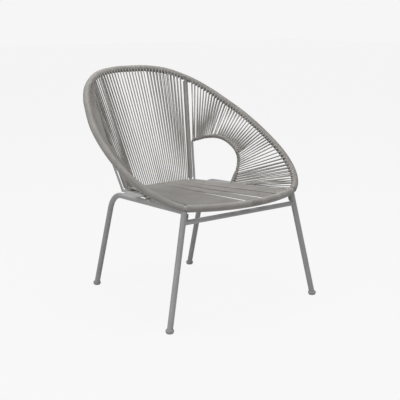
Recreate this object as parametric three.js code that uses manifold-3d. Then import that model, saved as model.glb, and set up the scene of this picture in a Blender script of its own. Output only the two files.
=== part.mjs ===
import * as THREE from 'three';
import { mergeVertices } from 'three/addons/utils/BufferGeometryUtils.js';
import Module from 'manifold-3d';

// Acapulco chair for a porch: an egg-shaped steel hoop and a front bow, strung with plastic cord,
// on a bent-tube leg frame. Millimetres, +Z up, the sitter faces -Y, origin on the floor midway
// under the chair. Every paired piece is made for the right side (+X) and mirrored for the left.

const wasm = await Module();
wasm.setup();

// Clearance between touching pieces, and the overrun of every cut past what it cuts
const clearance = 0.3;
const cutOverrun = 14;

// Vertices nearer than this are one, and the slack of a station count
const mergeDistance = 1e-4;
const countSlack = 1e-9;

// Hoop: centre line of its tube
const hoopHalfWidth = 341;
const hoopTopY = 337;
const hoopTopZ = 764;
const hoopDip = 4;
const hoopTubeRadius = 8;

// Front corners, where the hoop and the bow meet over the leg tops
const cornerX = 231;
const cornerY = -288;
const cornerZ = 377.5;

// Front bow: how far its middle stands ahead of the corners and sinks below them
const bowReach = 49;
const bowSink = 5.5;

// Cord and the tube wall of the frame
const cordRadius = 1.9;
const tubeWall = 1.2;

// Back uprights
const uprightTubeRadius = 5;
const uprightWrapRadius = uprightTubeRadius + clearance + 2 * cordRadius;

// Inner seat frame of solid rod
const rodRadius = 4;
const railHalfWidth = 160;
const railY = 156;
const railZ = 356;
const uprightInset = 18;
const uprightLean = 50.5;
const uprightFootX = railHalfWidth - uprightInset;
const uprightTopX = railHalfWidth + uprightLean;
const sideRodFrontX = 220;
const sideRodFrontY = -282;
const sideRodFrontZ = 379;

// Arm loop: its upper rear bend, leaning out over the rail's end, and the reach of the arch
const armLean = 27.5;
const armBendX = railHalfWidth + armLean;
const armBendY = 205;
const armBendZ = 500;
const armBendRadius = 12;
const archPeakZ = 517;
const archOutreach = 63.5;
const archFootShare = 0.42;

// Leg frame: the rear bend stands outboard of the seat rail's end, the rear foot beyond the bend
const legRadius = 9.5;
const frontFootX = 312.5;
const frontFootY = -315.6;
const legTopX = 229.3;
const legTopY = -285.4;
const legTopZ = 369;
const crossRailZ = 333;
const crossRailRadius = 8;
const plateReach = 42.9;
const rearLegSplay = 10.5;
const rearBendX = railHalfWidth + plateReach;
const rearFootX = rearBendX + rearLegSplay;
const rearFootY = 257;
const rearBendY = 151.6;
const rearBendZ = 351.9;
const rearBendRadius = 75;
const sideRailFrontZ = 367;

// Foot caps, upright under the sloping legs and centred on the leg at their middle height
const capHeight = 13;
const capFloor = 6;
const capBeltRadius = 13.6;
const capBeltBottom = 6;
const capBeltTop = 9.5;
const capSoleRadius = 11;
const capLipRadius = 12.7;

// Rear mounting plates and front lugs
const plateThickness = 3;
const plateRearY = 118;
const plateFrontY = 5;
const lugThickness = 3;
const lugWidth = 14;
const lugLength = 18;
const lugDrop = 16;
const boltHeadRadius = 4;
const boltHeadHeight = 3;
const boltRadius = 2.5;
const boltLength = 7;

// Cord loops on each field, and the room left beside what is welded to a wrapped tube
const backLoops = 34;
const sideLoops = 45;
const sideSectors = 3;
const seatLoops = 33;
const barRadius = 2.4;
const weldRoom = 8;
const railEdgeRoom = 2;

// The way that the cord of each field leaves the rear rail, in degrees about it: 90 points up
// and 180 to the front; each field's wrap spans part of the rail's round
const backCordAngle = 68;
const seatCordAngle = 178;
const railShellHalfSpan = 52;

// Facets
const hoopSteps = 40;
const bowSteps = 14;
const archSteps = 15;
const bendSteps = 6;
const legSides = 10;
const tubeSides = 8;
const wrapSides = 6;

// The egg of the hoop as [half width, climb from the corner to the top], both as shares
const hoopOutlineShares = [
  [0.777, 0.038],
  [0.877, 0.102],
  [0.946, 0.179],
  [0.99, 0.272],
  [1, 0.374],
  [0.985, 0.482],
  [0.941, 0.595],
  [0.85, 0.718],
  [0.789, 0.786],
  [0.657, 0.883],
  [0.443, 0.966],
  [0.22, 0.995],
];

// The arch of the arm loop from its rear bend to its foot, as
// [outreach, way forward, height from the foot to the peak], all as shares
const archOutlineShares = [
  [0.18, 0.085, 0.92],
  [0.42, 0.174, 0.973],
  [0.62, 0.28, 1],
  [0.81, 0.392, 1],
  [0.94, 0.521, 0.953],
  [1, 0.669, 0.846],
  [0.97, 0.792, 0.719],
  [0.84, 0.886, 0.559],
  [0.575, 0.945, 0.324],
  [0.28, 0.966, 0.157],
];

const wrappedHoopRadius = hoopTubeRadius + clearance + 2 * cordRadius;
const wrappedRodRadius = rodRadius + clearance + cordRadius;

const steel = { color: 0x8f8f8f, roughness: 0.45, metalness: 0.35 };
const cord = { color: 0x8f8b86, roughness: 0.55, metalness: 0 };
const plastic = { color: 0x77736f, roughness: 0.6, metalness: 0 };
const zinc = { color: 0x6d6d6d, roughness: 0.4, metalness: 0.8 };

const v = (x, y, z) => new THREE.Vector3(x, y, z);
const radians = THREE.MathUtils.degToRad;

// A path that keeps the stations it is given, one ring of the tube at each
class StationPath extends THREE.Curve {
  constructor(stations) {
    super();
    this.stations = stations;
  }

  getPoint(share, target = new THREE.Vector3()) {
    const place = share * (this.stations.length - 1);
    const index = Math.min(Math.floor(place + countSlack), this.stations.length - 2);
    return target.lerpVectors(this.stations[index], this.stations[index + 1], place - index);
  }

  getPointAt(share, target) {
    return this.getPoint(share, target);
  }

  getTangentAt(share, target = new THREE.Vector3()) {
    const index = Math.round(share * (this.stations.length - 1));
    const here = this.stations[index];
    const before = this.stations[Math.max(index - 1, 0)];
    const after = this.stations[Math.min(index + 1, this.stations.length - 1)];
    const arriving = here.clone().sub(before).normalize();
    const leaving = after.clone().sub(here).normalize();
    return target.addVectors(arriving, leaving).normalize();
  }
}

function polygon(radius, sides) {
  const corners = [];
  for (let i = 0; i < sides; i += 1) {
    const angle = (2 * Math.PI * i) / sides;
    corners.push(new THREE.Vector2(radius * Math.cos(angle), radius * Math.sin(angle)));
  }
  return corners;
}

// A tube along a line of stations; a bore radius makes it hollow, with a bore no tighter than that
function tubeAlong(line, radius, bore, sides) {
  const section = new THREE.Shape(polygon(radius, sides));
  if (bore > 0) section.holes.push(new THREE.Path(polygon(bore / Math.cos(Math.PI / sides), sides)));
  return new THREE.ExtrudeGeometry(section, {
    steps: line.length - 1,
    bevelEnabled: false,
    extrudePath: new StationPath(line),
  });
}

function toSolid(geometry) {
  const bare = geometry.clone();
  bare.deleteAttribute('normal');
  bare.deleteAttribute('uv');
  const merged = mergeVertices(bare, mergeDistance);
  return new wasm.Manifold(new wasm.Mesh({
    numProp: 3,
    vertProperties: new Float32Array(merged.attributes.position.array),
    triVerts: new Uint32Array(merged.index.array),
  }));
}

function toGeometry(solid) {
  const mesh = solid.getMesh();
  const geometry = new THREE.BufferGeometry();
  geometry.setAttribute('position', new THREE.BufferAttribute(mesh.vertProperties, 3));
  geometry.setIndex(new THREE.BufferAttribute(mesh.triVerts, 1));
  return geometry;
}

const solidTube = (line, radius, bore, sides) => toSolid(tubeAlong(line, radius, bore, sides));
const joined = (solids) => solids.reduce((sum, solid) => sum.add(solid));
const cutBy = (solid, cutters) => cutters.reduce((rest, cutter) => rest.subtract(cutter), solid);

function mirrored(geometry) {
  const twin = geometry.clone().scale(-1, 1, 1);
  const index = twin.index.array;
  for (let i = 0; i < index.length; i += 3) [index[i], index[i + 1]] = [index[i + 1], index[i]];
  return twin;
}

// A block whose face lies on a plane, about a point there, to cut what reaches beyond the plane
function beyondPlane(point, normal, size) {
  const block = new THREE.BoxGeometry(size, size, size).translate(0, 0, size / 2);
  block.applyQuaternion(new THREE.Quaternion().setFromUnitVectors(v(0, 0, 1), normal));
  return toSolid(block.translate(point.x, point.y, point.z));
}

// A piece made about the local +Z axis, set on a point with that axis along a direction
function placed(geometry, point, direction) {
  geometry.applyQuaternion(new THREE.Quaternion().setFromUnitVectors(v(0, 0, 1), direction));
  return geometry.translate(point.x, point.y, point.z);
}

// Measures along a line of stations
const lineLength = (line) => line.slice(1).reduce((sum, p, i) => sum + p.distanceTo(line[i]), 0);

function onLine(line, distance) {
  let rest = distance;
  let index = 0;
  while (index < line.length - 2 && rest > line[index].distanceTo(line[index + 1])) {
    rest -= line[index].distanceTo(line[index + 1]);
    index += 1;
  }
  const direction = line[index + 1].clone().sub(line[index]).normalize();
  return { point: line[index].clone().addScaledVector(direction, rest), direction };
}

function lineBetween(line, from, to) {
  let passed = 0;
  const middle = [];
  line.forEach((station, i) => {
    if (i > 0) passed += station.distanceTo(line[i - 1]);
    if (passed > from + clearance && passed < to - clearance) middle.push(station);
  });
  return [onLine(line, from).point, ...middle, onLine(line, to).point];
}

function distanceAtX(line, x) {
  const index = line.findIndex((station, i) => i > 0 && station.x >= x && line[i - 1].x < x);
  const share = (x - line[index - 1].x) / (line[index].x - line[index - 1].x);
  const before = lineLength(line.slice(0, index));
  return before + share * line[index].distanceTo(line[index - 1]);
}

function stretched(line, extra) {
  const last = line[line.length - 1];
  const outward = last.clone().sub(line[line.length - 2]).normalize();
  return [...line, last.clone().addScaledVector(outward, extra)];
}

const stretchedBothWays = (line, extra) =>
  stretched(stretched(line, extra).reverse(), extra).reverse();

// The arc that rounds a corner between two straight runs
function roundedCorner(before, corner, after, radius) {
  const arriving = corner.clone().sub(before).normalize();
  const leaving = after.clone().sub(corner).normalize();
  const turn = arriving.angleTo(leaving);
  const start = corner.clone().addScaledVector(arriving, -radius * Math.tan(turn / 2));
  const inward = leaving.clone().addScaledVector(arriving, -leaving.dot(arriving)).normalize();
  const arc = [];
  for (let i = 0; i <= bendSteps; i += 1) {
    const angle = (turn * i) / bendSteps;
    arc.push(start.clone()
      .addScaledVector(arriving, radius * Math.sin(angle))
      .addScaledVector(inward, radius * (1 - Math.cos(angle))));
  }
  return arc;
}

// The hoop runs from the top middle down to the right corner
function hoopPoint([widthShare, climbShare]) {
  const bend = 4 * hoopDip * climbShare * (1 - climbShare);
  return v(
    hoopHalfWidth * widthShare,
    cornerY + (hoopTopY - cornerY) * climbShare,
    cornerZ + (hoopTopZ - cornerZ) * climbShare - bend,
  );
}

const corner = v(cornerX, cornerY, cornerZ);
const mirrorPoint = (p) => v(-p.x, p.y, p.z);

function hoopLine() {
  const right = [corner, ...hoopOutlineShares.map(hoopPoint)];
  const top = v(0, hoopTopY, hoopTopZ);
  const left = right.map(mirrorPoint).reverse();
  return new THREE.CatmullRomCurve3([...right, top, ...left]).getSpacedPoints(hoopSteps).reverse();
}

function bowLine() {
  const radius = (cornerX ** 2 + bowReach ** 2) / (2 * bowReach);
  const half = Math.asin(cornerX / radius);
  const stations = [];
  for (let i = 0; i <= bowSteps; i += 1) {
    const angle = half * (1 - (2 * i) / bowSteps);
    const ahead = radius * (Math.cos(angle) - Math.cos(half));
    stations.push(v(-radius * Math.sin(angle), cornerY - ahead, cornerZ - (bowSink * ahead) / bowReach));
  }
  return stations;
}

const hoop = hoopLine();
const bow = bowLine();
const hoopLength = lineLength(hoop);
const rail = [v(-railHalfWidth - rodRadius, railY, railZ), v(railHalfWidth + rodRadius, railY, railZ)];
const sideRod = [v(railHalfWidth, railY, railZ), v(sideRodFrontX, sideRodFrontY, sideRodFrontZ)];
const uprightAt = distanceAtX(hoop, uprightTopX);
const upright = [v(uprightFootX, railY, railZ), onLine(hoop, uprightAt).point];
const legTop = v(legTopX, legTopY, legTopZ);
const frontLeg = [v(frontFootX, frontFootY, 0), legTop];

function archLine() {
  const foot = sideRod[0].clone().lerp(sideRod[1], archFootShare);
  const bend = v(armBendX, armBendY, armBendZ);
  const points = archOutlineShares.map(([out, forward, height]) => v(
    armBendX + archOutreach * out,
    armBendY + (foot.y - armBendY) * forward,
    foot.z + (archPeakZ - foot.z) * height,
  ));
  const post = [sideRod[0].clone(), bend];
  const bendArc = roundedCorner(post[0], bend, points[0], armBendRadius);
  const curve = new THREE.CatmullRomCurve3([bendArc[bendSteps], ...points, foot]);
  return { post: [post[0], ...bendArc], arch: curve.getSpacedPoints(archSteps) };
}

const { post: armPost, arch } = archLine();

const rearFoot = v(rearFootX, rearFootY, 0);
const rearBend = v(rearBendX, rearBendY, rearBendZ);
const sideRailFront = v(legTopX, legTopY, sideRailFrontZ);
const rearArc = roundedCorner(rearFoot, rearBend, sideRailFront, rearBendRadius);

// Cutters: wrapped or bare tubes grown by the clearance
const growth = 1 / Math.cos(Math.PI / wrapSides);
const grown = (radius) => (radius + clearance) * growth;
const longHoop = stretchedBothWays(hoop, cutOverrun);
const longBow = stretchedBothWays(bow, cutOverrun);
const hoopCutter = solidTube(longHoop, hoopTubeRadius + clearance, 0, tubeSides);
const wrappedHoopCutter = solidTube(longHoop, grown(wrappedHoopRadius), 0, wrapSides);
const wrappedBowCutter = solidTube(longBow, grown(wrappedHoopRadius), 0, wrapSides);
const railCutter = solidTube(rail, grown(rodRadius), 0, tubeSides);
const sideRodCutter = solidTube(stretched(sideRod, cutOverrun), grown(rodRadius), 0, tubeSides);
const uprightCutter = solidTube(upright, grown(uprightTubeRadius), 0, tubeSides);
const legCutter = solidTube(stretched(frontLeg, cutOverrun), legRadius + clearance, 0, legSides);
const legBoreRadius = legRadius + clearance * growth;
const rearLegCutter = solidTube([rearFoot, ...rearArc, sideRailFront], legBoreRadius, 0, legSides);

// Where the cord fields begin and end along the tubes
const sideFrom = uprightAt + weldRoom;
const archLength = lineLength(arch);
const railStrungHalf = uprightFootX - uprightWrapRadius - clearance;

// Blocks that cut at the seam of hoop and bow over the corners, and at the middle of the back
const hoopEnd = onLine(hoop, hoopLength).direction;
const bowEnd = bow[bowSteps - 1].clone().sub(bow[bowSteps]).normalize();
const seamNormal = hoopEnd.clone().add(bowEnd).normalize();
const blockSize = 6 * wrappedHoopRadius;
const seamHalf = seamNormal.clone().multiplyScalar(clearance / 2);
const bowSideOfSeam = beyondPlane(corner.clone().sub(seamHalf), seamNormal, blockSize);
const towardHoop = seamNormal.clone().negate();
const hoopSideOfSeam = beyondPlane(corner.clone().add(seamHalf), towardHoop, blockSize);
const mirrorSolid = (solid) => toSolid(mirrored(toGeometry(solid)));
const leftOfMiddle = beyondPlane(v(clearance / 2, 0, 0), v(-1, 0, 0), 2 * hoopTopZ + blockSize);
const hoopSeamCuts = [bowSideOfSeam, mirrorSolid(bowSideOfSeam)];
const bowSeamCuts = [hoopSideOfSeam, mirrorSolid(hoopSideOfSeam)];

function hoopTube() {
  return cutBy(solidTube(longHoop, hoopTubeRadius, hoopTubeRadius - tubeWall, tubeSides), hoopSeamCuts);
}

function bowTube() {
  const tube = solidTube(longBow, hoopTubeRadius, hoopTubeRadius - tubeWall, tubeSides);
  return cutBy(tube, [...bowSeamCuts, sideRodCutter, mirrorSolid(sideRodCutter)]);
}

function backUpright() {
  const tube = solidTube(upright, uprightTubeRadius, uprightTubeRadius - tubeWall, tubeSides);
  const underRail = beyondPlane(v(uprightFootX, railY, railZ + rodRadius / 2), v(0, 0, -1), blockSize);
  return cutBy(tube, [hoopCutter, railCutter, underRail]);
}

function uprightWrap() {
  const length = lineLength(upright);
  const line = lineBetween(upright, wrappedRodRadius + rodRadius, length - clearance);
  const bore = uprightTubeRadius + clearance;
  return cutBy(solidTube(line, uprightWrapRadius, bore, wrapSides), [wrappedHoopCutter]);
}

function armLoop() {
  const rod = solidTube([...armPost.slice(0, -1), ...arch], rodRadius, 0, tubeSides);
  return cutBy(rod, [sideRodCutter, railCutter]);
}

function seatSideRod() {
  return cutBy(solidTube(sideRod, rodRadius, 0, tubeSides), [railCutter]);
}

function hollowLeg(line) {
  return solidTube(line, legRadius, legRadius - tubeWall, legSides);
}

const legDirection = legTop.clone().sub(frontLeg[0]).normalize();

// The lug lies on the inboard side of the leg top; its bolt runs outboard through the leg's wall
const lugCentre = legTop.clone().addScaledVector(legDirection, -lugDrop);
const inboard = v(-1, 0, 0).addScaledVector(legDirection, legDirection.x).normalize();
const lugReach = legRadius + clearance + lugThickness / 2;
const boltSeat = lugCentre.clone().addScaledVector(inboard, lugReach + lugThickness / 2 + clearance);

function boltGeometry(extraRadius) {
  const profile = [
    new THREE.Vector2(0, -boltHeadHeight),
    new THREE.Vector2(boltHeadRadius, -boltHeadHeight),
    new THREE.Vector2(boltHeadRadius, 0),
    new THREE.Vector2(boltRadius + extraRadius, 0),
    new THREE.Vector2(boltRadius + extraRadius, boltLength),
    new THREE.Vector2(0, boltLength),
  ];
  const turned = new THREE.LatheGeometry(profile, legSides).rotateX(Math.PI / 2);
  return placed(turned, boltSeat, inboard.clone().negate());
}

const boltCutter = toSolid(boltGeometry(clearance));

function frontLegTube() {
  const line = [onLine(frontLeg, capFloor).point, legTop];
  return cutBy(hollowLeg(line), [wrappedHoopCutter, wrappedBowCutter, boltCutter]);
}

function frontLug() {
  const box = new THREE.BoxGeometry(lugThickness, lugWidth, lugLength);
  const across = new THREE.Vector3().crossVectors(legDirection, inboard);
  box.applyMatrix4(new THREE.Matrix4().makeBasis(inboard, across, legDirection));
  const centre = lugCentre.clone().addScaledVector(inboard, lugReach);
  const plate = toSolid(box.translate(centre.x, centre.y, centre.z));
  return cutBy(plate, [wrappedHoopCutter, wrappedBowCutter, legCutter, boltCutter, rearLegCutter]);
}

function crossRail() {
  const at = onLine(frontLeg, (crossRailZ / legTopZ) * lineLength(frontLeg)).point;
  const tube = solidTube([mirrorPoint(at), at], crossRailRadius, crossRailRadius - tubeWall, legSides);
  return cutBy(tube, [legCutter, mirrorSolid(legCutter)]);
}

function rearLegTube() {
  const start = onLine([rearFoot, rearBend], capFloor).point;
  const tube = hollowLeg([start, ...rearArc, sideRailFront]);
  return cutBy(tube, [legCutter, wrappedHoopCutter, wrappedBowCutter]);
}

function mountingPlate() {
  const along = (y) => (railY - y) / (railY - sideRodFrontY);
  const rodAt = (y) => sideRod[0].clone().lerp(sideRod[1], along(y));
  const railAt = (y) => rearBend.clone().lerp(sideRailFront, (rearBendY - y) / (rearBendY - legTopY));
  const outline = [
    [rodAt(plateRearY).x, plateRearY],
    [railAt(plateRearY).x, plateRearY],
    [railAt(plateFrontY).x, plateFrontY],
    [rodAt(plateFrontY).x, plateFrontY],
  ].map(([x, y]) => new THREE.Vector2(x, y));
  const slab = new THREE.ExtrudeGeometry(new THREE.Shape(outline), {
    depth: plateThickness,
    bevelEnabled: false,
  });
  const plate = toSolid(slab.translate(0, 0, railZ - plateThickness / 2));
  return cutBy(plate, [sideRodCutter, rearLegCutter]);
}

function footCap(legLine) {
  const profile = [
    new THREE.Vector2(0, 0),
    new THREE.Vector2(capSoleRadius, 0),
    new THREE.Vector2(capBeltRadius, capBeltBottom),
    new THREE.Vector2(capBeltRadius, capBeltTop),
    new THREE.Vector2(capLipRadius, capHeight),
    new THREE.Vector2(0, capHeight),
  ];
  const centre = onLine(legLine, capHeight / 2).point;
  const turned = new THREE.LatheGeometry(profile, legSides).rotateX(Math.PI / 2);
  const body = toSolid(turned.translate(centre.x, centre.y, 0));
  const seat = [onLine(legLine, capFloor - clearance).point, onLine(legLine, capHeight + cutOverrun).point];
  const bore = solidTube(seat, legBoreRadius, 0, legSides);
  return cutBy(body, [bore]);
}

// One loop's stretch of cord between two tubes, a three-sided bar that ends inside both wraps
const barSection = new THREE.Shape(polygon(barRadius, 3));

function cordBar(outer, inner, outerTube, innerTube) {
  const way = inner.point.clone().sub(outer.point);
  const length = way.length();
  way.normalize();
  const from = barEnd(outer.direction, way, outerTube);
  const to = barEnd(inner.direction, way, innerTube);
  const bar = new THREE.ExtrudeGeometry(barSection, { depth: length - from - to, bevelEnabled: false });
  return toSolid(placed(bar, outer.point.clone().addScaledVector(way, from), way));
}

// How far from a tube's centre line a bar starts, so that its end clears the bore of the wrap
function barEnd(tubeDirection, way, tubeRadius) {
  const slant = tubeDirection.angleTo(way);
  return (grown(tubeRadius) + barRadius * Math.abs(Math.cos(slant))) / Math.sin(slant) + clearance;
}

const loopBars = (outer, inner, outerTube, innerTube) =>
  outer.map((place, i) => cordBar(place, inner[i], outerTube, innerTube));

// Places at equal steps on a line, one for each loop
function places(line, from, to, loops) {
  const step = (to - from) / loops;
  return Array.from({ length: loops }, (_, i) => onLine(line, from + step * (i + 0.5)));
}

function hoopSleeve(from, to) {
  const line = lineBetween(hoop, from, to);
  return solidTube(line, wrappedHoopRadius, hoopTubeRadius + clearance, wrapSides);
}

// Side field of cord, from the hoop to the arch of the arm loop, in sectors from rear to front
const sideOnHoop = (share) => sideFrom + (hoopLength - sideFrom) * share;
const sideOnArch = (share) => (archLength - wrappedRodRadius - rodRadius) * share;

// The block that ends a sector along the strand at a border; side is 1 ahead of it, -1 behind
function sectorCut(share, side) {
  const outer = onLine(hoop, sideOnHoop(share));
  const inner = onLine(arch, sideOnArch(share));
  const way = inner.point.clone().sub(outer.point);
  const across = outer.direction.clone().add(inner.direction);
  across.addScaledVector(way, -across.dot(way) / way.lengthSq()).normalize().multiplyScalar(side);
  const middle = outer.point.clone().addScaledVector(way, 0.5);
  return beyondPlane(middle.addScaledVector(across, -clearance / 2), across, 2 * way.length());
}

function sideSector(index) {
  const isRear = index === 0;
  const isFront = index === sideSectors - 1;
  const from = index / sideSectors;
  const to = (index + 1) / sideSectors;
  const loops = sideLoops / sideSectors;
  const behind = isRear ? 0 : cutOverrun;
  const ahead = isFront ? 0 : cutOverrun;
  const lastOnHoop = isFront ? hoopLength - cutOverrun : sideOnHoop(to);
  const outer = places(hoop, sideOnHoop(from), lastOnHoop, loops);
  const inner = places(arch, sideOnArch(from), sideOnArch(to), loops);
  const archWrap = lineBetween(arch, sideOnArch(from) - behind, sideOnArch(to) + ahead);
  const field = joined([
    hoopSleeve(sideOnHoop(from) - behind, sideOnHoop(to) + ahead),
    solidTube(archWrap, wrappedRodRadius * growth, rodRadius + clearance, wrapSides),
    ...loopBars(outer, inner, hoopTubeRadius, rodRadius),
  ]);
  return cutBy(field, [
    isRear ? uprightCutter : sectorCut(from, -1),
    isFront ? bowSideOfSeam : sectorCut(to, 1),
  ]);
}

// The part of the rear rail's wrap that one field covers, about an angle at which its cord leaves
function railShell(fromX, toX, angle) {
  const section = new THREE.Shape();
  const [low, high] = [radians(angle - railShellHalfSpan), radians(angle + railShellHalfSpan)];
  section.absarc(0, 0, wrappedRodRadius * growth, low, high, false);
  section.absarc(0, 0, grown(rodRadius), high, low, true);
  const shell = new THREE.ExtrudeGeometry(section, {
    depth: toX - fromX,
    bevelEnabled: false,
    curveSegments: wrapSides / 2,
  });
  shell.applyMatrix4(new THREE.Matrix4().makeBasis(v(0, 1, 0), v(0, 0, 1), v(1, 0, 0)));
  return toSolid(shell.translate(fromX, railY, railZ));
}

function railPlaces(fromX, toX, loops) {
  return places([v(fromX, railY, railZ), v(toX, railY, railZ)], 0, toX - fromX, loops);
}

function backCord() {
  const middle = hoopLength / 2;
  const end = uprightAt - weldRoom;
  const loops = backLoops / 2;
  const outer = places(hoop, middle, end, loops);
  const field = joined([
    hoopSleeve(middle - cutOverrun, end),
    railShell(0, railStrungHalf, backCordAngle),
    ...loopBars(outer, railPlaces(0, railStrungHalf - railEdgeRoom, loops), hoopTubeRadius, rodRadius),
  ]);
  return cutBy(field, [leftOfMiddle, uprightCutter]);
}

function seatCord() {
  const bowLength = lineLength(bow);
  const edge = cornerX - sideRodFrontX + weldRoom;
  const outer = places(bow, edge, bowLength - edge, seatLoops);
  const strung = railStrungHalf - railEdgeRoom;
  const field = joined([
    solidTube(longBow, wrappedHoopRadius, hoopTubeRadius + clearance, wrapSides),
    railShell(-railStrungHalf, railStrungHalf, seatCordAngle),
    ...loopBars(outer, railPlaces(-strung, strung, seatLoops), hoopTubeRadius, rodRadius),
  ]);
  return cutBy(field, [...bowSeamCuts, sideRodCutter, mirrorSolid(sideRodCutter)]);
}

const group = new THREE.Group();

function add(name, geometry, look) {
  const mesh = new THREE.Mesh(geometry, new THREE.MeshStandardMaterial(look));
  mesh.name = name;
  group.add(mesh);
}

function addPair(name, solid, look) {
  const geometry = toGeometry(solid);
  add(`${name}_right`, geometry, look);
  add(`${name}_left`, mirrored(geometry), look);
}

add('hoop_tube', toGeometry(hoopTube()), steel);
add('front_bow_tube', toGeometry(bowTube()), steel);
add('rear_seat_rail', toGeometry(solidTube(rail, rodRadius, 0, tubeSides)), steel);
add('front_cross_rail', toGeometry(crossRail()), steel);
addPair('back_upright', backUpright(), steel);
addPair('seat_side_rod', seatSideRod(), steel);
addPair('arm_loop', armLoop(), steel);
addPair('front_leg', frontLegTube(), steel);
addPair('rear_leg_and_side_rail', rearLegTube(), steel);
addPair('rear_mounting_plate', mountingPlate(), steel);
addPair('front_lug', frontLug(), steel);
addPair('lug_bolt', toSolid(boltGeometry(0)), zinc);
addPair('front_foot_cap', footCap(frontLeg), plastic);
addPair('rear_foot_cap', footCap([rearFoot, rearBend]), plastic);
addPair('upright_wrap', uprightWrap(), cord);
addPair('back_cord', backCord(), cord);
['rear', 'middle', 'front'].forEach((place, i) => addPair(`side_cord_${place}`, sideSector(i), cord));
add('seat_cord', toGeometry(seatCord()), cord);

export default group;
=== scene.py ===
import math
from bisect import bisect_right

import bpy
from mathutils import Matrix, Vector


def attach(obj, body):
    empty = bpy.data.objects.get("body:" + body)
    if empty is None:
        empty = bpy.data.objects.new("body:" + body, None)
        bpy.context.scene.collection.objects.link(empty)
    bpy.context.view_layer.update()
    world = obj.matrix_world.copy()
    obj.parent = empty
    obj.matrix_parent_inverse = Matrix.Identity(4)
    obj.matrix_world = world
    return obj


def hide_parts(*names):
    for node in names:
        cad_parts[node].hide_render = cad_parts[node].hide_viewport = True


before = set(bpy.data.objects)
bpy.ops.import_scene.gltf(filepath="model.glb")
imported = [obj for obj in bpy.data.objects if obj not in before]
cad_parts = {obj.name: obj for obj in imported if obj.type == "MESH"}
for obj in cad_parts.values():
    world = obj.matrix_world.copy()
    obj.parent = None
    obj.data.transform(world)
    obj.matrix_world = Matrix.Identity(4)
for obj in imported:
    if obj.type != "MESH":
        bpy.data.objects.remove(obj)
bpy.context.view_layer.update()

MM = 0.001


def place(x, y, z):
    """A place given in millimetres, as in the CAD source."""
    return Vector((x * MM, y * MM, z * MM))


# Centre lines of the frame
CORNER = place(231, -288, 377.5)
HOOP_TOP = place(0, 337, 764)
HOOP_HALF_WIDTH = 341 * MM
HOOP_DIP = 4 * MM
BOW_REACH = 49 * MM
BOW_SINK = 5.5 * MM
RAIL_END = place(160, 156, 356)
SIDE_ROD_FRONT = place(220, -282, 379)
UPRIGHT_FOOT = place(142, 156, 356)
UPRIGHT_TOP_X = 210.5 * MM
ARM_BEND = place(187.5, 205, 500)
ARM_BEND_RADIUS = 12 * MM
ARCH_PEAK_Z = 517 * MM
ARCH_OUTREACH = 63.5 * MM
ARCH_FOOT_SHARE = 0.42
FRONT_FOOT = place(312.5, -315.6, 0)
LEG_TOP = place(229.3, -285.4, 369)
CROSS_RAIL_Z = 333 * MM
REAR_FOOT = place(213.4, 257, 0)
REAR_BEND = place(202.9, 151.6, 351.9)
REAR_BEND_RADIUS = 75 * MM
SIDE_RAIL_FRONT = place(229.3, -285.4, 367)

# Joints: the gap that the CAD keeps between pieces, the beads of weld, and how far a plate laps
# into the round of a tube
JOINT_GAP = 0.3 * MM
BEAD_RADIUS = 1.3 * MM
PLATE_LAP = 1 * MM

# Mounting plates, lugs, and the bolt with the socket in its head
PLATE_REAR_Y = 118 * MM
PLATE_FRONT_Y = 5 * MM
PLATE_THICKNESS = 3 * MM
PLATE_EDGE = 0.7 * MM
LUG_DROP = 16 * MM
LUG_WIDTH = 14 * MM
LUG_LENGTH = 18 * MM
LUG_THICKNESS = 3 * MM
LUG_EDGE = 0.6 * MM
BOLT_LENGTH = 7 * MM
BOLT_RADIUS = 2.5 * MM
BOLT_HEAD_RADIUS = 4 * MM
BOLT_HEAD_HEIGHT = 3 * MM
BOLT_HEAD_EDGE = 0.4 * MM
BOLT_TOP_RADIUS = 3.5 * MM
SOCKET_RADIUS = 1.8 * MM
SOCKET_DEPTH = 1.6 * MM

# Foot caps: the floor that the leg stands on inside, and the outline from the sole up as
# [rise, radius] in millimetres
CAP_HEIGHT = 13 * MM
CAP_FLOOR = 6 * MM
CAP_SOLE_RADIUS = 9.6 * MM
CAP_OUTLINE = [
    (0.6, 11), (2.2, 12.1), (2.6, 13.3), (1.4, 13.6), (1.6, 13.6), (1.6, 13.2), (2, 12.6),
    (1, 11.8),
]

# Radii of the tubes, the rods and the cord
HOOP_RADIUS = 8 * MM
ROD_RADIUS = 4 * MM
UPRIGHT_RADIUS = 5 * MM
LEG_RADIUS = 9.5 * MM
CROSS_RAIL_RADIUS = 8 * MM
CORD_RADIUS = 2 * MM
SNUG = 0.1 * MM
ROD_EDGE = 0.8 * MM
ON_HOOP = HOOP_RADIUS + SNUG + CORD_RADIUS
ON_ROD = ROD_RADIUS + SNUG + CORD_RADIUS

# Wraps: from turn to turn, beside an upright's weld, at the ends of the bow, at the corners, and
# at the two ends of an upright
WRAP_PITCH = 4.02 * MM
WELD_ROOM = 8 * MM
BOW_EDGE = 19 * MM
CORNER_ROOM = 6 * MM
WRAP_ABOVE_RAIL = 11 * MM
WRAP_BELOW_HOOP = 14 * MM
TURN_STEPS = 14
HALF_TURN_DRIFT = 0.04

# Points nearer than this are one
MERGE_DISTANCE = 1e-6

# How finely each kind of piece is made: the roundness of what is drawn along a line, the steps
# along it, the sides of what is drawn out of a disc, and the steps of the rear bend
CORD_ROUNDNESS = 2
ROD_ROUNDNESS = 4
TUBE_ROUNDNESS = 6
TUBE_STEP = 6 * MM
ROD_STEP = 5 * MM
ROD_SIDES = 24
TUBE_SIDES = 32
CAP_SIDES = 40
BEND_STEPS = 14

# Faces that meet at less than this, in degrees, shade as one round
TUBE_SHADE = 35
CORD_SHADE = 60
SHEET_SHADE = 30
CAP_SHADE = 50

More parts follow.
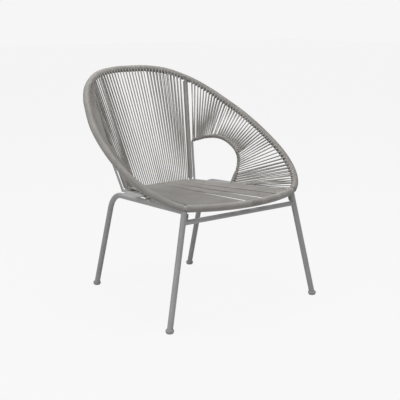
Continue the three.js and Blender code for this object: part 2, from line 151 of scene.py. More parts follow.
# The egg of the hoop as [half width, climb], and the arch of the arm loop as
# [outreach, way forward, height], all as shares
HOOP_SHARES = [
    (0.777, 0.038), (0.877, 0.102), (0.946, 0.179), (0.99, 0.272), (1, 0.374), (0.985, 0.482),
    (0.941, 0.595), (0.85, 0.718), (0.789, 0.786), (0.657, 0.883), (0.443, 0.966), (0.22, 0.995),
]
ARCH_SHARES = [
    (0.18, 0.085, 0.92), (0.42, 0.174, 0.973), (0.62, 0.28, 1), (0.81, 0.392, 1),
    (0.94, 0.521, 0.953), (1, 0.669, 0.846), (0.97, 0.792, 0.719), (0.84, 0.886, 0.559),
    (0.575, 0.945, 0.324), (0.28, 0.966, 0.157),
]


class Line:
    """A run of tube or cord as close points, with its length measured along it."""

    def __init__(self, points):
        self.points = points
        self.marks = [0.0]
        for a, b in zip(points, points[1:]):
            self.marks.append(self.marks[-1] + (b - a).length)
        self.length = self.marks[-1]

    def at(self, distance):
        """The point at a distance along the line, and the way the line runs there."""
        i = min(max(bisect_right(self.marks, distance) - 1, 0), len(self.points) - 2)
        a, b = self.points[i], self.points[i + 1]
        way = (b - a).normalized()
        return a + way * (distance - self.marks[i]), way

    def between(self, start, stop, step):
        """Points at about equal steps from one distance to another."""
        count = max(2, round((stop - start) / step))
        return [self.at(start + (stop - start) * i / count)[0] for i in range(count + 1)]


def smooth_line(knots, steps=16):
    """A centripetal curve through knots, as a bent tube runs through the marks of its template."""
    ends = [knots[0] * 2 - knots[1], *knots, knots[-1] * 2 - knots[-2]]
    points = []
    for a, b, c, d in zip(ends, ends[1:], ends[2:], ends[3:]):
        ab, bc, cd = (math.sqrt((q - p).length) for p, q in ((a, b), (b, c), (c, d)))
        leave = ((b - a) / ab - (c - a) / (ab + bc) + (c - b) / bc) * bc
        arrive = ((c - b) / bc - (d - b) / (bc + cd) + (d - c) / cd) * bc
        for i in range(steps):
            x = i / steps
            points.append(
                b * (2 * x**3 - 3 * x**2 + 1) + leave * (x**3 - 2 * x**2 + x)
                + c * (3 * x**2 - 2 * x**3) + arrive * (x**3 - x**2))
    return Line([*points, knots[-1]])


def rounded_corner(before, corner, after, radius, steps=10):
    """The arc that rounds a bend between two straight runs, with its centre and axis."""
    arriving = (corner - before).normalized()
    leaving = (after - corner).normalized()
    turn = arriving.angle(leaving)
    start = corner - arriving * radius * math.tan(turn / 2)
    inward = (leaving - arriving * leaving.dot(arriving)).normalized()
    arc = [start + arriving * radius * math.sin(turn * i / steps)
           + inward * radius * (1 - math.cos(turn * i / steps)) for i in range(steps + 1)]
    return arc, start + inward * radius, arriving.cross(inward), turn


def mirrored(point):
    return Vector((-point.x, point.y, point.z))


def hoop_line():
    right = [CORNER.copy()]
    for width, climb in HOOP_SHARES:
        point = CORNER.lerp(HOOP_TOP, climb)
        point.x = HOOP_HALF_WIDTH * width
        point.z -= 4 * HOOP_DIP * climb * (1 - climb)
        right.append(point)
    left = [mirrored(point) for point in right]
    return smooth_line([*left, HOOP_TOP, *reversed(right)])


def bow_line(steps=60):
    radius = (CORNER.x**2 + BOW_REACH**2) / (2 * BOW_REACH)
    half = math.asin(CORNER.x / radius)
    points = []
    for i in range(steps + 1):
        angle = half * (1 - 2 * i / steps)
        ahead = radius * (math.cos(angle) - math.cos(half))
        points.append(Vector((-radius * math.sin(angle), CORNER.y - ahead,
                              CORNER.z - BOW_SINK * ahead / BOW_REACH)))
    return Line(points)


def arm_lines():
    """The post of the arm loop from the seat rail to its upper bend, and the arch from there."""
    foot = RAIL_END.lerp(SIDE_ROD_FRONT, ARCH_FOOT_SHARE)
    knots = [Vector((ARM_BEND.x + ARCH_OUTREACH * out,
                     ARM_BEND.y + (foot.y - ARM_BEND.y) * forward,
                     foot.z + (ARCH_PEAK_Z - foot.z) * height))
             for out, forward, height in ARCH_SHARES]
    bend, *_ = rounded_corner(RAIL_END, ARM_BEND, knots[0], ARM_BEND_RADIUS)
    return [RAIL_END, *bend], smooth_line([bend[-1], *knots, foot])


HOOP = hoop_line()
BOW = bow_line()
ARM_POST, ARCH = arm_lines()
RAIL = Line([mirrored(RAIL_END), RAIL_END])


# The hoop widens from its top to this share of its length; the search there halves its room
WIDENING_SHARE = 0.7
HALVINGS = 40


def hoop_distance(x):
    """How far along the hoop its right half reaches a distance out from the middle."""
    low, high = HOOP.length / 2, HOOP.length * WIDENING_SHARE
    for _ in range(HALVINGS):
        middle = (low + high) / 2
        low, high = (middle, high) if HOOP.at(middle)[0].x < x else (low, middle)
    return low


UPRIGHT_AT = hoop_distance(UPRIGHT_TOP_X)
UPRIGHT_TOP = HOOP.at(UPRIGHT_AT)[0]


# Pieces

def clear_choice():
    if bpy.context.object and bpy.context.object.mode != "OBJECT":
        bpy.ops.object.mode_set(mode="OBJECT")
    bpy.ops.object.select_all(action="DESELECT")


def drawn_along(name, points, radius, resolution):
    """A rod, tube or cord drawn along points, as a mesh with closed ends."""
    clear_choice()
    bpy.ops.curve.primitive_nurbs_path_add(location=(0, 0, 0))
    piece = bpy.context.object
    piece.name = name
    run = piece.data
    run.splines.clear()
    spline = run.splines.new("POLY")
    spline.points.add(len(points) - 1)
    for knot, point in zip(spline.points, points):
        knot.co = (*point, 1)
    run.twist_mode = "MINIMUM"
    run.bevel_depth = radius
    run.bevel_resolution = resolution
    run.use_fill_caps = True
    bpy.ops.object.convert(target="MESH")
    piece = bpy.context.object
    bpy.ops.object.mode_set(mode="EDIT")
    bpy.ops.mesh.select_all(action="SELECT")
    bpy.ops.mesh.remove_doubles(threshold=MERGE_DISTANCE)
    bpy.ops.mesh.normals_make_consistent(inside=False)
    bpy.ops.object.mode_set(mode="OBJECT")
    return piece


def disc(name, point, way, radius, sides):
    """A flat disc square to a way, left in edit mode with its face selected."""
    clear_choice()
    bpy.ops.mesh.primitive_circle_add(vertices=sides, radius=radius, fill_type="NGON",
                                      location=point,
                                      rotation=way.to_track_quat("Z", "Y").to_euler())
    piece = bpy.context.object
    piece.name = name
    bpy.ops.object.transform_apply(location=True, rotation=True, scale=True)
    bpy.ops.object.mode_set(mode="EDIT")
    bpy.ops.mesh.select_all(action="SELECT")
    return piece


def draw_out(move):
    bpy.ops.mesh.extrude_region_move(TRANSFORM_OT_translate={"value": move})


def lathed(point, way, radius, outline):
    """Draws the selected disc out by steps of (rise, radius) about its middle point."""
    for rise, wide in outline:
        draw_out(way * rise)
        point = point + way * rise
        grow = wide / radius
        bpy.ops.transform.resize(value=(grow, grow, grow), center_override=point)
        radius = wide


def smoothed(piece, angle=TUBE_SHADE):
    """Ends the modelling of a piece: faces out, smooth where it curves."""
    if piece.mode != "EDIT":
        clear_choice()
        piece.select_set(True)
        bpy.context.view_layer.objects.active = piece
        bpy.ops.object.mode_set(mode="EDIT")
    bpy.ops.mesh.select_all(action="SELECT")
    bpy.ops.mesh.remove_doubles(threshold=MERGE_DISTANCE)
    bpy.ops.mesh.normals_make_consistent(inside=False)
    bpy.ops.object.mode_set(mode="OBJECT")
    bpy.ops.object.shade_smooth_by_angle(angle=math.radians(angle))
    return piece


def rounded_edges(piece, width, angle=40, segments=2):
    """Breaks the sharp edges of a piece with a bevel."""
    clear_choice()
    piece.select_set(True)
    bpy.context.view_layer.objects.active = piece
    bevel = piece.modifiers.new("edge", "BEVEL")
    bevel.width = width
    bevel.segments = segments
    bevel.limit_method = "ANGLE"
    bevel.angle_limit = math.radians(angle)
    bpy.ops.object.modifier_apply(modifier=bevel.name)
    return piece


def fitted(piece, material, slot, *nodes):
    """Gives a piece its finish and its body, and hides the CAD nodes that it stands for, if any."""
    piece.data.materials.clear()
    piece.data.materials.append(material)
    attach(piece, "root")
    if nodes:
        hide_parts(*nodes)
    return piece


def left_twin(piece, name):
    """The left-hand copy of a right-hand piece, mirrored, with its own mesh."""
    twin = piece.copy()
    twin.data = piece.data.copy()
    twin.name = name
    bpy.context.collection.objects.link(twin)
    twin.data.transform(Matrix.Scale(-1, 4, (1, 0, 0)))
    twin.data.flip_normals()
    return twin


def fitted_pair(piece, material, slot, node):
    """Fits the right-hand piece and its left-hand twin over the nodes of a pair."""
    twin = left_twin(piece, f"{node}_left_piece")
    piece.name = f"{node}_right_piece"
    fitted(piece, material, slot, f"{node}_right")
    fitted(twin, material, slot, f"{node}_left")


# Cord

def parted(distance, closeness):
    """Moves a turn of cord aside where an upright meets the hoop on its inner side."""
    for weld in (UPRIGHT_AT, HOOP.length - UPRIGHT_AT):
        room = WELD_ROOM * closeness
        if abs(distance - weld) < room:
            return weld + math.copysign(room, distance - weld)
    return distance


def by_marks(marks, loop):
    """The distance of a loop by its tube's marks, which are rows of (loop, distance)."""
    i = min(max(bisect_right([row[0] for row in marks], loop) - 1, 0), len(marks) - 2)
    (low, start), (high, stop) = marks[i], marks[i + 1]
    return start + (stop - start) * (loop - low) / (high - low)


class Field:
    """A field of cord strung between an outer tube and an inner rod, loop by loop.

    The marks of a tube say where the front stretch of a loop meets it. The cord comes down
    the front, goes round the rod, climbs the rear, and winds on round the tube to the next loop.
    Two fields may share the room on a rod.
    """

    def __init__(self, outer, outer_marks, inner, inner_marks, sitter, shared=False):
        self.outer, self.outer_marks = outer, outer_marks
        self.inner, self.inner_marks = inner, inner_marks
        self.loops, self.sitter, self.shared = outer_marks[-1][0], sitter, shared

    def turned(self, distance, loop, angle, on_outer):
        """A point of a turn: angle 0 faces the other tube, 90 the sitter, in degrees."""
        tube, marks, other = self.outer, self.inner_marks, self.inner
        radius = ON_HOOP
        if not on_outer:
            tube, marks, other = self.inner, self.outer_marks, self.outer
            radius = ON_ROD
        near, way = tube.at(distance)
        across = other.at(by_marks(marks, loop))[0] - near
        across = (across - way * across.dot(way)).normalized()
        face = way.cross(across)
        if face.dot(self.sitter - near) < 0:
            face = -face
        turn = math.radians(angle)
        if tube is HOOP:
            near = tube.at(parted(distance, max(0.0, math.cos(turn))))[0]
        return near + across * radius * math.cos(turn) + face * radius * math.sin(turn)

    def wound(self, on_outer, distances, loops, angles):
        """Close points of a winding from one distance, loop and angle to another."""
        count = max(6, round(abs(angles[1] - angles[0]) / 360 * TURN_STEPS))
        points = []
        for i in range(count + 1):
            distance, loop, angle = (a + (b - a) * i / count
                                     for a, b in (distances, loops, angles))
            points.append(self.turned(distance, loop, angle, on_outer))
        return points

    def round_rod(self, loop):
        """Half a turn round the rod, and whole turns more where the loops stand further apart."""
        here = by_marks(self.inner_marks, loop)
        step = by_marks(self.inner_marks, loop + 1) - here
        more = more_turns(step / 2 if self.shared else step)
        travel = step * (more + 0.5) / (more + 1) if more else step * HALF_TURN_DRIFT
        return self.wound(False, (here, here + travel), (loop, loop + travel / step),
                          (90, 270 + 360 * more))

    def round_tube(self, loop):
        """The turns on the outer tube that carry the cord from one loop to the next."""
        after = by_marks(self.outer_marks, loop + 1)
        step = after - by_marks(self.outer_marks, loop)
        more = more_turns(step)
        share = (more + 0.5) / (more + 1)
        return self.wound(True, (after - step * share, after), (loop + 1 - share, loop + 1),
                          (270 + 360 * more, 90))

    def route(self, first, last, lead_in=0, lead_out=0, tucked=False):
        """The run of a cord from one loop to another; leads are lengths of tube it only wraps.

        A tucked cord ends with one more stretch down to the rod.
        """
        start, stop = by_marks(self.outer_marks, first), by_marks(self.outer_marks, last)
        ahead = math.copysign(1, stop - start)
        turned_in, turned_out = lead_in / WRAP_PITCH * 360, lead_out / WRAP_PITCH * 360
        points = self.wound(True, (start - lead_in * ahead, start), (first, first),
                            (90 + turned_in, 90))
        for loop in range(first, last):
            points += self.round_rod(loop)
            points += self.round_tube(loop)
        if tucked:
            return points + self.round_rod(last)
        return points + self.wound(True, (stop, stop + lead_out * ahead), (last, last),
                                   (90, 90 - turned_out))[1:]


def counted_back(marks):
    """The marks of a tube with its loops counted from the other end."""
    loops = marks[-1][0]
    return [(loops - loop, at) for loop, at in reversed(marks)]


def more_turns(step):
    """Whole turns that fit between two loops beside the half turn that each loop needs."""
    return max(0, int(abs(step) / WRAP_PITCH) - 1)


# What the front stretches of a field face: the sitter, or what is over the seat
SITTER = Vector((0, -0.05, 0.6))
OVERHEAD = Vector((0, 0, 2))

# Where the loops stand along each tube, as (loop, distance); the back and the seat share the
# rail, half a loop apart. The back's two cords meet after one loop. On the bow three steps are
# wider, which leaves slits in the seat.
RAIL_MARKS = [(loop, RAIL.length / 2 + at * MM)
              for loop, at in ((0, -131), (5, -103), (17, -3), (34, 131))]
BACK_ON_HOOP = [(0, HOOP.length - UPRIGHT_AT + WELD_ROOM), (34, UPRIGHT_AT - WELD_ROOM)]
BACK_MEETING = 22
SEAT_ON_RAIL = [(loop - 0.5, at) for loop, at in RAIL_MARKS]
SEAT_ON_BOW = [(loop, BOW.length / 2 + at * MM) for loop, at in (
    (0, -219), (15, -32), (16, -6), (20, 40), (21, 66), (25, 114), (26, 138), (33, 219))]

# The side field runs down the hoop to the corner, and follows the arm loop and the side rod;
# its two cords start where they meet, and the rear one ends in plain turns beside the upright
SIDE_LEAD = 16 * MM
SIDE_MEETING = 13
SIDE_ON_HOOP = [(0, UPRIGHT_AT + SIDE_LEAD)] + [
    (loop, HOOP.length - to_corner * MM) for loop, to_corner in ((33, 279), (43, 97), (48, 22))]
ARM = Line([*ARM_POST[:-1], *ARCH.points, SIDE_ROD_FRONT])
ARCH_START = Line(ARM_POST).length
SIDE_ON_ARM = [(loop, ARCH_START + at * MM) for loop, at in (
    (0, -13), (1, -7), (2, 2), (11, 60), (13, 79.8), (14, 84.2), (28, 210), (38, 290), (43, 337),
    (44, 360), (48, 412))]


def spiral(line, start, stop, radius, pitch, turn_steps=12):
    """Plain turns of cord side by side round a tube."""
    count = round((stop - start) / pitch * turn_steps)
    points = []
    aside = None
    for i in range(count + 1):
        centre, way = line.at(start + (stop - start) * i / count)
        if aside is None:
            aside = way.orthogonal()
        aside = (aside - way * aside.dot(way)).normalized()
        angle = 2 * math.pi * i / turn_steps
        across = way.cross(aside)
        points.append(centre + (aside * math.cos(angle) + across * math.sin(angle)) * radius)
    return points


def strung(name, route, cord, *nodes):
    piece = smoothed(drawn_along(name, route, CORD_RADIUS, CORD_ROUNDNESS), CORD_SHADE)
    return fitted(piece, cord, "cord", *nodes)


def string_back(cord):
    back = Field(HOOP, BACK_ON_HOOP, RAIL, RAIL_MARKS, SITTER, shared=True)
    strung("back_cord_left_strung", back.route(0, BACK_MEETING, WELD_ROOM, tucked=True),
           cord, "back_cord_left")
    between = by_marks(BACK_ON_HOOP, BACK_MEETING + 1) - by_marks(BACK_ON_HOOP, BACK_MEETING)
    strung("back_cord_right_strung",
           back.route(BACK_MEETING + 1, back.loops, between - WRAP_PITCH, WELD_ROOM), cord,
           "back_cord_right")


def string_seat(cord):
    seat = Field(BOW, SEAT_ON_BOW, RAIL, SEAT_ON_RAIL, OVERHEAD, shared=True)
    lead = BOW_EDGE - CORNER_ROOM
    strung("seat_cord_strung", seat.route(0, seat.loops, lead, lead), cord, "seat_cord")


def string_sides(cord):
    to_corner = Field(HOOP, SIDE_ON_HOOP, ARM, SIDE_ON_ARM, SITTER)
    to_upright = Field(HOOP, counted_back(SIDE_ON_HOOP), ARM, counted_back(SIDE_ON_ARM), SITTER)
    loops = to_corner.loops
    ahead = HOOP.length - SIDE_ON_HOOP[-1][1] - CORNER_ROOM
    between = by_marks(SIDE_ON_HOOP, SIDE_MEETING + 1) - by_marks(SIDE_ON_HOOP, SIDE_MEETING)
    rear = to_upright.route(loops - SIDE_MEETING, loops, 0, SIDE_LEAD)
    front = to_corner.route(SIDE_MEETING + 1, loops, between, ahead)
    for name, route, places in (("side_cord_rear", rear, ["rear"]),
                                ("side_cord_front", front, ["middle", "front"])):
        right = drawn_along(f"{name}_strung_right", route, CORD_RADIUS, CORD_ROUNDNESS)
        smoothed(right, CORD_SHADE)
        left = left_twin(right, f"{name}_strung_left")
        for piece, hand in ((right, "right"), (left, "left")):
            fitted(piece, cord, "cord", *(f"side_cord_{where}_{hand}" for where in places))


def wrap_uprights(cord):
    upright = Line([UPRIGHT_FOOT, UPRIGHT_TOP])
    turns = spiral(upright, WRAP_ABOVE_RAIL, upright.length - WRAP_BELOW_HOOP,
                   UPRIGHT_RADIUS + SNUG + CORD_RADIUS, WRAP_PITCH)
    wrap = drawn_along("upright_wrap", turns, CORD_RADIUS, CORD_ROUNDNESS)
    fitted_pair(smoothed(wrap, CORD_SHADE), cord, "cord", "upright_wrap")


# Steel

def hoop_and_bow(steel):
    for name, line, node in (("hoop", HOOP, "hoop_tube"), ("bow", BOW, "front_bow_tube")):
        points = line.between(0, line.length, TUBE_STEP)
        tube = drawn_along(name, points, HOOP_RADIUS, TUBE_ROUNDNESS)
        fitted(smoothed(tube), steel, "frame_steel", node)


def straight_tube(name, start, end, radius, sides):
    way = end - start
    piece = disc(name, start, way.normalized(), radius, sides)
    draw_out(way)
    return smoothed(piece)


def seat_frame(steel):
    out = Vector((ROD_RADIUS, 0, 0))
    rail = straight_tube("rail", mirrored(RAIL_END) - out, RAIL_END + out, ROD_RADIUS, ROD_SIDES)
    fitted(rounded_edges(rail, ROD_EDGE), steel, "frame_steel", "rear_seat_rail")
    way = (SIDE_ROD_FRONT - RAIL_END).normalized()
    side_rod = straight_tube("side_rod", RAIL_END + way * (ROD_RADIUS + JOINT_GAP),
                             SIDE_ROD_FRONT, ROD_RADIUS, ROD_SIDES)
    fitted_pair(side_rod, steel, "frame_steel", "seat_side_rod")
    arm = drawn_along("arm", [*ARM_POST[:-1], *ARCH.between(0, ARCH.length, ROD_STEP)],
                      ROD_RADIUS, ROD_ROUNDNESS)
    fitted_pair(smoothed(arm), steel, "frame_steel", "arm_loop")
    upright = straight_tube("upright", UPRIGHT_FOOT, UPRIGHT_TOP, UPRIGHT_RADIUS, ROD_SIDES)
    fitted_pair(upright, steel, "frame_steel", "back_upright")


def leg_frame(steel):
    up = (LEG_TOP - FRONT_FOOT).normalized()
    leg = straight_tube("leg", FRONT_FOOT + up * CAP_FLOOR, LEG_TOP, LEG_RADIUS, TUBE_SIDES)
    fitted_pair(leg, steel, "frame_steel", "front_leg")
    at = FRONT_FOOT.lerp(LEG_TOP, CROSS_RAIL_Z / LEG_TOP.z)
    cross = straight_tube("cross", mirrored(at), at, CROSS_RAIL_RADIUS, TUBE_SIDES)
    fitted(cross, steel, "frame_steel", "front_cross_rail")
    arc, centre, axis, turn = rounded_corner(REAR_FOOT, REAR_BEND, SIDE_RAIL_FRONT,
                                             REAR_BEND_RADIUS)
    up = (REAR_BEND - REAR_FOOT).normalized()
    start = REAR_FOOT + up * CAP_FLOOR
    rear = disc("rear", start, up, LEG_RADIUS, TUBE_SIDES)
    draw_out(arc[0] - start)
    bpy.ops.mesh.spin(steps=BEND_STEPS, angle=-turn, center=centre, axis=axis)
    draw_out(SIDE_RAIL_FRONT - arc[-1])
    fitted_pair(smoothed(rear), steel, "frame_steel", "rear_leg_and_side_rail")


def slab(name, corners, rise, thickness):
    """A flat piece of sheet from the corners of its lower face, drawn out along a way."""
    clear_choice()
    bpy.ops.mesh.primitive_plane_add(size=1)
    piece = bpy.context.object
    piece.name = name
    for corner, point in zip(piece.data.vertices, (corners[0], corners[1], corners[3], corners[2])):
        corner.co = point
    bpy.ops.object.mode_set(mode="EDIT")
    bpy.ops.mesh.select_all(action="SELECT")
    draw_out(rise * thickness)
    return smoothed(piece, SHEET_SHADE)


def saddle(tube, tube_radius, branch, branch_radius, steps=36):
    """The closed line where a branch tube meets the outside of another tube.

    Each tube is a place on its middle line and the way that the line runs; the branch leaves
    the other tube along its way.
    """
    centre, way = tube
    foot, out = branch
    aside = out.orthogonal().normalized()
    across = out.cross(aside)
    line = []
    for i in range(steps):
        angle = 2 * math.pi * i / steps
        point = foot + (aside * math.cos(angle) + across * math.sin(angle)) * branch_radius
        offset = point - centre
        offset = offset - way * offset.dot(way)
        run = out - way * out.dot(way)
        a, b = run.dot(run), offset.dot(run)
        c = offset.dot(offset) - tube_radius**2
        line.append(point + out * ((-b + math.sqrt(max(0.0, b * b - a * c))) / a))
    return [*line, line[0]]


def weld_beads(steel):
    """Beads of weld round the ends of the cross rail and the feet of the uprights and arm loops.

    A rod that is as thick as what it meets, or thicker, has its bead a little inside its round.
    """
    inset, upright_inset = 0.3 * MM, 1.2 * MM
    post_shift, arch_reach = 0.5 * MM, 6 * MM
    leg_at = FRONT_FOOT.lerp(LEG_TOP, CROSS_RAIL_Z / LEG_TOP.z)
    leg_way = (LEG_TOP - FRONT_FOOT).normalized()
    rod_way = (SIDE_ROD_FRONT - RAIL_END).normalized()
    across = Vector((1, 0, 0))
    arch_foot, arch_way = ARCH.at(ARCH.length - arch_reach)
    joints = [
        ("cross_rail_weld", saddle((leg_at, leg_way), LEG_RADIUS, (leg_at, -across),
                                   CROSS_RAIL_RADIUS)),
        ("upright_weld", saddle((RAIL_END, across), ROD_RADIUS,
                                (UPRIGHT_FOOT, (UPRIGHT_TOP - UPRIGHT_FOOT).normalized()),
                                UPRIGHT_RADIUS - upright_inset)),
        ("arm_post_weld", saddle((RAIL_END, across), ROD_RADIUS,
                                 (RAIL_END - across * post_shift,
                                  (ARM_BEND - RAIL_END).normalized()),
                                 ROD_RADIUS - inset)),
        ("arch_weld", saddle((ARCH.points[-1], rod_way), ROD_RADIUS, (arch_foot, -arch_way),
                             ROD_RADIUS - inset)),
    ]
    for name, line in joints:
        right = drawn_along(f"{name}_right", line, BEAD_RADIUS, CORD_ROUNDNESS)
        smoothed(right, CORD_SHADE)
        left = left_twin(right, f"{name}_left")
        fitted(right, steel, "frame_steel")
        fitted(left, steel, "frame_steel")


def mounting_plates(steel):
    """The plate between each side rod and side rail, with its edges in their rounds."""
    def rod(y):
        return RAIL_END.lerp(SIDE_ROD_FRONT, (RAIL_END.y - y) / (RAIL_END.y - SIDE_ROD_FRONT.y))

    def rail(y):
        return REAR_BEND.lerp(SIDE_RAIL_FRONT,
                              (REAR_BEND.y - y) / (REAR_BEND.y - SIDE_RAIL_FRONT.y))

    rear, front = PLATE_REAR_Y, PLATE_FRONT_Y
    inner = [rod(rear), rod(front)]
    outer = [rail(rear), rail(front)]
    for point in inner:
        point.x += ROD_RADIUS - PLATE_LAP
    for point in outer:
        point.x -= LEG_RADIUS - PLATE_LAP
    corners = [outer[0], inner[0], inner[1], outer[1]]
    for corner in corners:
        corner.z -= PLATE_THICKNESS / 2
    plate = slab("plate", corners, Vector((0, 0, 1)), PLATE_THICKNESS)
    fitted_pair(rounded_edges(plate, PLATE_EDGE), steel, "frame_steel", "rear_mounting_plate")


def lugs_and_bolts(steel, plated):
    """The small plate that ties each front leg to the hoop, and its socket-headed bolt."""
    up = (LEG_TOP - FRONT_FOOT).normalized()
    out = Vector((-1, 0, 0)) + up * up.x
    out.normalize()
    across = up.cross(out)
    centre = LEG_TOP - up * LUG_DROP
    face = centre + out * (LEG_RADIUS + JOINT_GAP)
    side, end = across * LUG_WIDTH / 2, up * LUG_LENGTH / 2
    corners = [face - side - end, face + side - end, face + side + end, face - side + end]
    lug = slab("lug", corners, out, LUG_THICKNESS)
    fitted_pair(rounded_edges(lug, LUG_EDGE), steel, "frame_steel", "front_lug")

    tip = face + out * (LUG_THICKNESS + JOINT_GAP - BOLT_LENGTH)
    bolt = disc("bolt", tip, out, BOLT_RADIUS, ROD_SIDES)
    lathed(tip, out, BOLT_RADIUS, [
        (BOLT_LENGTH, BOLT_RADIUS),
        (0, BOLT_HEAD_RADIUS),
        (BOLT_HEAD_HEIGHT - BOLT_HEAD_EDGE, BOLT_HEAD_RADIUS),
        (BOLT_HEAD_EDGE, BOLT_TOP_RADIUS),
        (0, SOCKET_RADIUS),
        (-SOCKET_DEPTH, SOCKET_RADIUS),
    ])
    fitted_pair(smoothed(bolt, SHEET_SHADE), plated, "bolt_steel", "lug_bolt")


def foot_caps(plastic):
    """The low upright cap on each leg, centred on the leg at the middle of its height."""
    upward = Vector((0, 0, 1))
    outline = [(rise * MM, wide * MM) for rise, wide in CAP_OUTLINE]
    for node, foot, towards in (("front_foot_cap", FRONT_FOOT, LEG_TOP),
                                ("rear_foot_cap", REAR_FOOT, REAR_BEND)):
        up = (towards - foot).normalized()
        sole = foot + up * (CAP_HEIGHT / 2 / up.z)
        sole.z = 0
        cap = disc("cap", sole, upward, CAP_SOLE_RADIUS, CAP_SIDES)
        lathed(sole, upward, CAP_SOLE_RADIUS, outline)
        fitted_pair(smoothed(cap, CAP_SHADE), plastic, "foot_plastic", node)


# Finishes

# Textures as (scale, detail): clouds of colour, wear that changes the shine, and fine grain; the
# colours blend over the middle of the clouds' range
CLOUDS = (14, 3)
WEAR = (60, 4)
GRAIN_DETAIL = 2
GRAIN_DEPTH = 0.2 * MM
BLEND_FROM, BLEND_TO = 0.35, 0.65

# The darkest and lightest colour of each finish
CORD_COLOURS = (0.29, 0.277, 0.26), (0.34, 0.325, 0.306)
STEEL_COLOURS = (0.31, 0.31, 0.31), (0.35, 0.35, 0.35)
PLATED_COLOURS = (0.16, 0.16, 0.165), (0.22, 0.22, 0.225)
PLASTIC_COLOURS = (0.29, 0.29, 0.288), (0.33, 0.33, 0.328)


def nodes_of(name):
    material = bpy.data.materials.new(name)
    material.use_nodes = True
    tree = material.node_tree
    return material, tree, tree.nodes["Principled BSDF"]


def noise(tree, where, scale, detail):
    texture = tree.nodes.new("ShaderNodeTexNoise")
    texture.inputs["Scale"].default_value = scale
    texture.inputs["Detail"].default_value = detail
    tree.links.new(where.outputs["Object"], texture.inputs["Vector"])
    return texture


def blended(tree, texture, colours):
    """Colours between a dark and a light one by a texture."""
    ramp = tree.nodes.new("ShaderNodeValToRGB")
    places = BLEND_FROM, BLEND_TO
    for element, at, colour in zip(ramp.color_ramp.elements, places, colours):
        element.position = at
        element.color = (*colour, 1)
    tree.links.new(texture.outputs["Fac"], ramp.inputs["Fac"])
    return ramp


def bumped(tree, shader, texture, strength):
    bump = tree.nodes.new("ShaderNodeBump")
    bump.inputs["Strength"].default_value = strength
    bump.inputs["Distance"].default_value = GRAIN_DEPTH
    tree.links.new(texture.outputs["Fac"], bump.inputs["Height"])
    tree.links.new(bump.outputs["Normal"], shader.inputs["Normal"])


def finish(name, colours, rough, grain_scale, grain, metallic=0.0):
    """A material with clouded colour, a roughness that varies in a range, and a fine grain."""
    material, tree, shader = nodes_of(name)
    where = tree.nodes.new("ShaderNodeTexCoord")
    tone = blended(tree, noise(tree, where, *CLOUDS), colours)
    tree.links.new(tone.outputs["Color"], shader.inputs["Base Color"])
    wear = noise(tree, where, *WEAR)
    spread = tree.nodes.new("ShaderNodeMapRange")
    spread.inputs["To Min"].default_value = rough[0]
    spread.inputs["To Max"].default_value = rough[1]
    tree.links.new(wear.outputs["Fac"], spread.inputs["Value"])
    tree.links.new(spread.outputs["Result"], shader.inputs["Roughness"])
    bumped(tree, shader, noise(tree, where, grain_scale, GRAIN_DETAIL), grain)
    shader.inputs["Metallic"].default_value = metallic
    return material


# Room

CAMERA_AT = (-1.8780, -2.4164, 0.9769)
CAMERA_PITCH = 78.007
CAMERA_TURN = -38.747
CAMERA_LENS = 80.78
CAMERA_SENSOR = 36

# The floor has one shade for the light it throws back, and is seen as mostly a plain glow, with a
# share of that shade, which keeps the chair's shadow. The room lights the chair by its strength
# and is seen as a grey of its own.
FLOOR_SIZE = 40
FLOOR_ROUGHNESS = 0.9
FLOOR_GREY = 0.6
FLOOR_SEEN_GREY = 0.958
FLOOR_GLOW_SHARE = 0.94
ROOM_STRENGTH = 0.1
ROOM_SEEN_GREY = 0.922

# What the lamps point at, about the middle of the chair
LIT_POINT = Vector((0, 0, 0.4))
LAMP_SIZE = 2


def camera():
    bpy.ops.object.camera_add(
        location=CAMERA_AT,
        rotation=(math.radians(CAMERA_PITCH), 0, math.radians(CAMERA_TURN)))
    view = bpy.context.object
    view.data.lens = CAMERA_LENS
    view.data.sensor_width = CAMERA_SENSOR
    bpy.context.scene.camera = view


def grey(value):
    return (value, value, value, 1)


def seen_by_camera(tree, plain, seen):
    """One shader for the light that falls on things, another for what is seen of the room."""
    path = tree.nodes.new("ShaderNodeLightPath")
    seeing = path.outputs["Is Camera Ray"]
    for ray in ("Is Glossy Ray", "Is Transmission Ray"):
        either = tree.nodes.new("ShaderNodeMath")
        either.operation = "MAXIMUM"
        tree.links.new(seeing, either.inputs[0])
        tree.links.new(path.outputs[ray], either.inputs[1])
        seeing = either.outputs["Value"]
    mix = tree.nodes.new("ShaderNodeMixShader")
    tree.links.new(seeing, mix.inputs[0])
    tree.links.new(plain.outputs[0], mix.inputs[1])
    tree.links.new(seen.outputs[0], mix.inputs[2])
    return mix


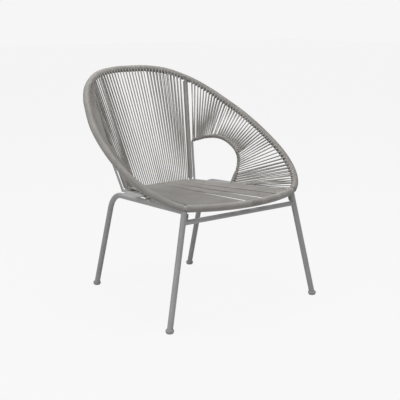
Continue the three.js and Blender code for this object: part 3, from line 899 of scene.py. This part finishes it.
def floor():
    clear_choice()
    bpy.ops.mesh.primitive_plane_add(size=FLOOR_SIZE, location=(0, 0, 0))
    ground = bpy.context.object
    ground.name = "floor"
    material, tree, shader = nodes_of("studio_floor")
    shader.inputs["Base Color"].default_value = grey(FLOOR_GREY)
    shader.inputs["Roughness"].default_value = FLOOR_ROUGHNESS
    glow = tree.nodes.new("ShaderNodeEmission")
    glow.inputs["Color"].default_value = grey(FLOOR_SEEN_GREY)
    blend = tree.nodes.new("ShaderNodeMixShader")
    blend.inputs[0].default_value = FLOOR_GLOW_SHARE
    tree.links.new(shader.outputs[0], blend.inputs[1])
    tree.links.new(glow.outputs[0], blend.inputs[2])
    mix = seen_by_camera(tree, shader, blend)
    tree.links.new(mix.outputs[0], tree.nodes["Material Output"].inputs["Surface"])
    ground.data.materials.append(material)


def sky():
    world = bpy.data.worlds.new("studio")
    bpy.context.scene.world = world
    world.use_nodes = True
    tree = world.node_tree
    plain = tree.nodes["Background"]
    plain.inputs["Color"].default_value = grey(1)
    plain.inputs["Strength"].default_value = ROOM_STRENGTH
    seen = tree.nodes.new("ShaderNodeBackground")
    seen.inputs["Color"].default_value = grey(ROOM_SEEN_GREY)
    mix = seen_by_camera(tree, plain, seen)
    tree.links.new(mix.outputs[0], tree.nodes["World Output"].inputs["Surface"])


def lamp(name, location, power):
    bpy.ops.object.light_add(type="AREA", location=location)
    light = bpy.context.object
    light.name = name
    light.data.size = LAMP_SIZE
    light.data.energy = power
    way = LIT_POINT - Vector(location)
    light.rotation_euler = way.to_track_quat("-Z", "Y").to_euler()


def main():
    camera()
    cord = finish("plastic_cord", CORD_COLOURS, rough=(0.42, 0.58), grain_scale=900, grain=0.15)
    steel = finish("grey_powder_coat", STEEL_COLOURS, rough=(0.38, 0.52), grain_scale=1400,
                   grain=0.2)
    plated = finish("dark_plated_bolt", PLATED_COLOURS, rough=(0.3, 0.42), grain_scale=1200,
                    grain=0.1, metallic=0.9)
    plastic = finish("moulded_foot_plastic", PLASTIC_COLOURS, rough=(0.5, 0.62),
                     grain_scale=700, grain=0.3)
    string_back(cord)
    string_seat(cord)
    string_sides(cord)
    wrap_uprights(cord)
    hoop_and_bow(steel)
    seat_frame(steel)
    leg_frame(steel)
    mounting_plates(steel)
    weld_beads(steel)
    lugs_and_bolts(steel, plated)
    foot_caps(plastic)
    floor()
    sky()
    lamp("overhead", (0, 0, 3.8), power=105)
    lamp("front", (-0.9, -3.2, 2.4), power=36)
    lamp("left", (-3.2, -0.2, 1.6), power=34)
    bpy.context.scene.view_settings.view_transform = "Standard"


main()
